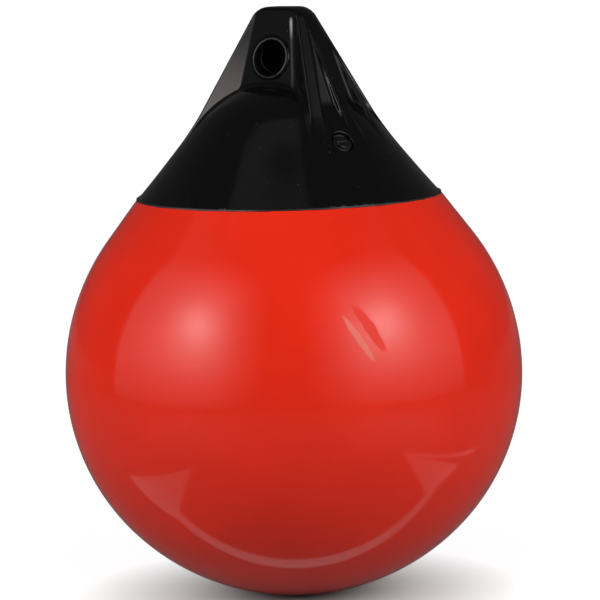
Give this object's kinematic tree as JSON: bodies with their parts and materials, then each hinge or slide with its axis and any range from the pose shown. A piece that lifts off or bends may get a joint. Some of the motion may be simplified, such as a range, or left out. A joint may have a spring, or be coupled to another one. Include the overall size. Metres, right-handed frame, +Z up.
{
  "type": "inflatable marker buoy",
  "caption": "Hollow red vinyl float with a welded black rope hold, a bored lug with pockets and flutes, and a screw valve for air.",
  "frame": {"origin": "where the buoy's axis meets the still water that it floats in", "axes": "+Z up along the buoy's axis, +Y along the bore of the rope eye, -Y the front pocket, +X the side of the valve"},
  "size_m": [0.305, 0.3048, 0.3932],
  "materials": {
    "red_vinyl": "soft-gloss moulded vinyl, lightly scuffed",
    "black_vinyl": "glossy moulded vinyl with soft edges",
    "weld_vinyl": "thin dull weld flash",
    "valve_nylon": "matt moulded nylon",
    "plug_nylon": "satin moulded nylon, worn at the slot"
  },
  "bodies": {
    "root": {"ball": "red_vinyl", "rope_hold": "black_vinyl", "seam_weld": "weld_vinyl", "valve_seat": "valve_nylon", "valve_plug": "plug_nylon"}
  },
  "joints": []
}
